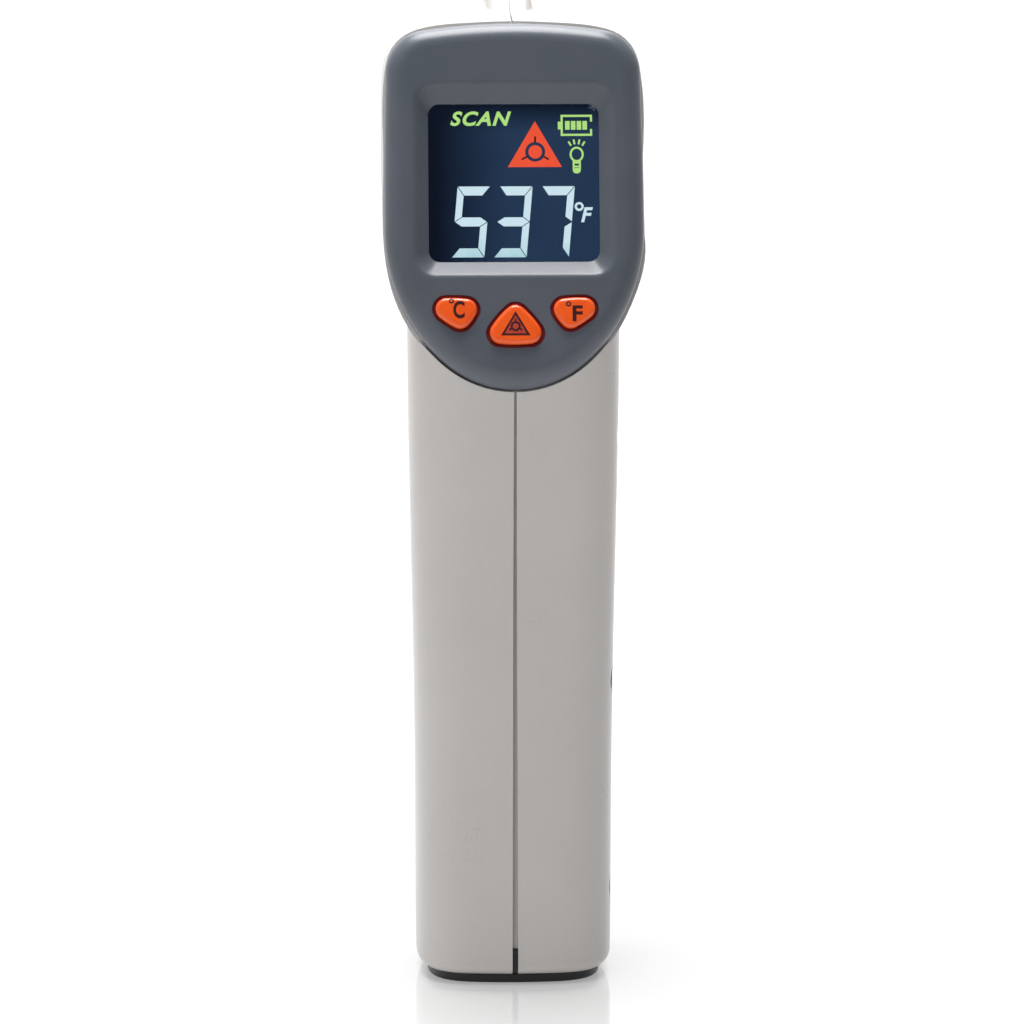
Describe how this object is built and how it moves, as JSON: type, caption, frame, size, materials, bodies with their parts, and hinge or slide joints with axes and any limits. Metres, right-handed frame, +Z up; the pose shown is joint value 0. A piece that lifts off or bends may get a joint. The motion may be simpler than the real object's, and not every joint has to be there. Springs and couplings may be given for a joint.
{
  "type": "infrared thermometer",
  "caption": "Gun-shaped infrared thermometer with a tilted display, soft-cornered keys, a finger trigger, a laser pointer and a hinged battery door.",
  "frame": {"origin": "centre of the foot's resting face under the grip", "axes": "+Z up along the grip, +Y in the direction the instrument measures, +X to the user's right"},
  "size_m": [0.042, 0.095, 0.1563],
  "materials": {
    "casing": "fine moulded texture",
    "slate_plastic": "satin moulded",
    "foot_plastic": "matt",
    "door_plastic": "satin moulded",
    "key_plastic": "gloss",
    "trigger_plastic": "semi-gloss",
    "key_rubber": "matt",
    "window_clear": "polished",
    "lcd_glass": "polished",
    "light_guide": "translucent",
    "frame_plastic": "matt",
    "strip_rubber": "matt",
    "circuit_board": "solder mask",
    "component_black": "matt",
    "socket_plastic": "matt",
    "switch_metal": "brushed",
    "screw_steel": "plated",
    "spring_steel": "plated",
    "contact_metal": "nickel plated",
    "sensor_can": "nickel plated",
    "tube_plastic": "matt black",
    "lens_plastic": "milky",
    "retainer_metal": "anodised",
    "laser_brass": "turned",
    "laser_clear": "polished",
    "tray_plastic": "matt",
    "cell_sleeve": "printed sleeve",
    "ribbon_film": "film",
    "lead_red": "smooth",
    "lead_black": "smooth"
  },
  "bodies": {
    "housing": {"casing_left": "casing", "casing_right": "casing", "base_cap": "foot_plastic", "display_bezel": "slate_plastic", "display_window": "window_clear", "lcd_panel": "lcd_glass", "lcd_frame": "frame_plastic", "backlight": "light_guide", "lcd_contact_strip": "strip_rubber", "key_mat": "key_rubber", "tact_switches": "switch_metal", "main_board": "circuit_board", "board_chips": "component_black", "lead_socket": "socket_plastic", "buzzer": "component_black", "board_screws": "screw_steel", "nose_fascia": "slate_plastic", "sensor_tube": "tube_plastic", "ir_lens": "lens_plastic", "lens_retainer": "retainer_metal", "thermopile_sensor": "sensor_can", "sensor_board": "circuit_board", "sensor_ribbon": "ribbon_film", "laser_module": "laser_brass", "laser_window": "laser_clear", "laser_clamp": "tube_plastic", "trigger_pivot_pin": "screw_steel", "trigger_spring": "spring_steel", "trigger_board": "circuit_board", "trigger_switch": "component_black", "battery_tray": "tray_plastic", "battery_1": "cell_sleeve", "battery_2": "cell_sleeve", "contact_plates": "contact_metal", "battery_bridge": "contact_metal", "battery_springs": "spring_steel", "battery_lead_red": "lead_red", "battery_lead_black": "lead_black", "door_hinge_pin": "screw_steel", "casing_screws": "screw_steel"},
    "trigger": {"trigger": "trigger_plastic"},
    "switch_plunger": {"trigger_switch_plunger": "component_black"},
    "battery_door": {"battery_door": "door_plastic"},
    "celsius_button": {"celsius_key": "key_plastic", "celsius_switch_plunger": "component_black"},
    "laser_button": {"laser_key": "key_plastic", "laser_switch_plunger": "component_black"},
    "fahrenheit_button": {"fahrenheit_key": "key_plastic", "fahrenheit_switch_plunger": "component_black"}
  },
  "joints": [
    {"name": "trigger_pull", "type": "hinge", "parent": "housing", "child": "trigger", "pos_m": [0, 0.0125, 0.11], "axis": [-1, 0, 0], "range_deg": [0, 7], "stiffness_Nm_per_rad": 0.06, "springref_deg": -6.88, "deforming": ["trigger_spring"]},
    {"name": "switch_plunger_travel", "type": "slide", "parent": "housing", "child": "switch_plunger", "axis": [0, -1, 0], "range_m": [0, 0.0011]},
    {"name": "battery_door_hinge", "type": "hinge", "parent": "housing", "child": "battery_door", "pos_m": [0, 0.018, 0.0082], "axis": [-1, 0, 0], "range_deg": [0, 75]},
    {"name": "celsius_press", "type": "slide", "parent": "housing", "child": "celsius_button", "axis": [0, 0.9563, -0.2924], "range_m": [0, 0.0006], "stiffness_N_per_m": 400, "springref_m": -0.001},
    {"name": "laser_press", "type": "slide", "parent": "housing", "child": "laser_button", "axis": [0, 0.9563, -0.2924], "range_m": [0, 0.0006], "stiffness_N_per_m": 400, "springref_m": -0.001},
    {"name": "fahrenheit_press", "type": "slide", "parent": "housing", "child": "fahrenheit_button", "axis": [0, 0.9563, -0.2924], "range_m": [0, 0.0006], "stiffness_N_per_m": 400, "springref_m": -0.001}
  ],
  "couplings": [
    {"joint": "switch_plunger_travel", "follows": "trigger_pull", "m_per_rad": 0.0085}
  ]
}
